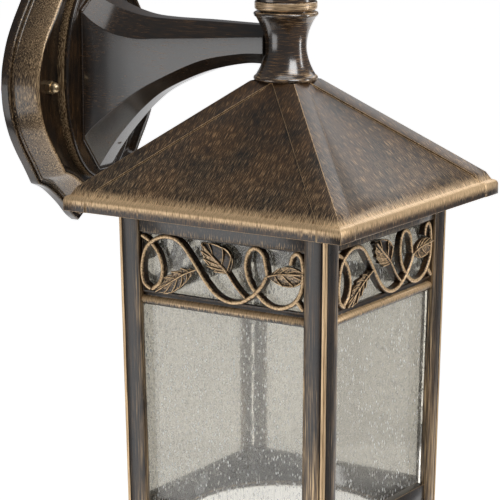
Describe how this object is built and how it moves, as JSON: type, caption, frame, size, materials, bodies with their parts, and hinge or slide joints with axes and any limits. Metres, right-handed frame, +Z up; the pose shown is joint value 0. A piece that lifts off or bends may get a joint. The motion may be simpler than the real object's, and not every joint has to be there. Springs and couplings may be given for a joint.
{
  "type": "outdoor wall lantern",
  "caption": "Square outdoor wall lantern with a pyramid roof, seeded glass panes and pierced vine friezes, hung from a curved cast arm on an escutcheon wall plate.",
  "frame": {"origin": "centre of the wall plate and of its bracket's slots, on the wall", "axes": "+Y into the wall, -Y out from it towards the viewer, +Z up, +X to the right of someone facing the wall"},
  "size_m": [0.185, 0.2508, 0.3523],
  "materials": {
    "bronze": "cast aluminium, gloss black bronze enamel with hand brushed gold",
    "glass": "clear seeded",
    "brass": "polished",
    "zinc_steel": "zinc plated",
    "porcelain": "glazed"
  },
  "bodies": {
    "lantern": {"arm": "bronze", "arm_screws": "zinc_steel", "base_plate": "bronze", "base_screws": "zinc_steel", "bottom_rail_back": "bronze", "bottom_rail_front": "bronze", "bottom_rail_left": "bronze", "bottom_rail_right": "bronze", "contact_spring": "zinc_steel", "corner_post_back_left": "bronze", "corner_post_back_right": "bronze", "corner_post_front_left": "bronze", "corner_post_front_right": "bronze", "earth_screw": "zinc_steel", "glass_clips": "zinc_steel", "glass_pane_back": "glass", "glass_pane_front": "glass", "glass_pane_left": "glass", "glass_pane_right": "glass", "hanger_nut": "brass", "hanger_tube": "brass", "lampholder_body": "porcelain", "lampholder_cap": "zinc_steel", "lampholder_shell": "brass", "mid_rail_back": "bronze", "mid_rail_front": "bronze", "mid_rail_left": "bronze", "mid_rail_right": "bronze", "mounting_bracket": "zinc_steel", "mounting_studs": "zinc_steel", "neck": "bronze", "neck_ring": "bronze", "roof": "bronze", "roof_screws": "zinc_steel", "top_rail_back": "bronze", "top_rail_front": "bronze", "top_rail_left": "bronze", "top_rail_right": "bronze", "vine_frieze_back": "bronze", "vine_frieze_front": "bronze", "vine_frieze_left": "bronze", "vine_frieze_right": "bronze", "wall_plate": "bronze"},
    "left_cap_nut": {"cap_nut_left": "brass"},
    "right_cap_nut": {"cap_nut_right": "brass"},
    "finial_knob": {"finial": "bronze"},
    "centre_contact": {"lampholder_contact": "brass"}
  },
  "joints": [
    {"name": "left_nut_turn", "type": "hinge", "parent": "lantern", "child": "left_cap_nut", "pos_m": [-0.04445, -0.019, 0], "axis": [0, -1, 0], "continuous": true},
    {"name": "right_nut_turn", "type": "hinge", "parent": "lantern", "child": "right_cap_nut", "pos_m": [0.04445, -0.019, 0], "axis": [0, -1, 0], "continuous": true},
    {"name": "finial_turn", "type": "hinge", "parent": "lantern", "child": "finial_knob", "pos_m": [0, -0.1583, 0.055], "axis": [0, 0, 1], "continuous": true},
    {"name": "contact_press", "type": "slide", "parent": "lantern", "child": "centre_contact", "axis": [0, 0, 1], "range_m": [0, 0.002], "deforming": ["contact_spring"]}
  ]
}
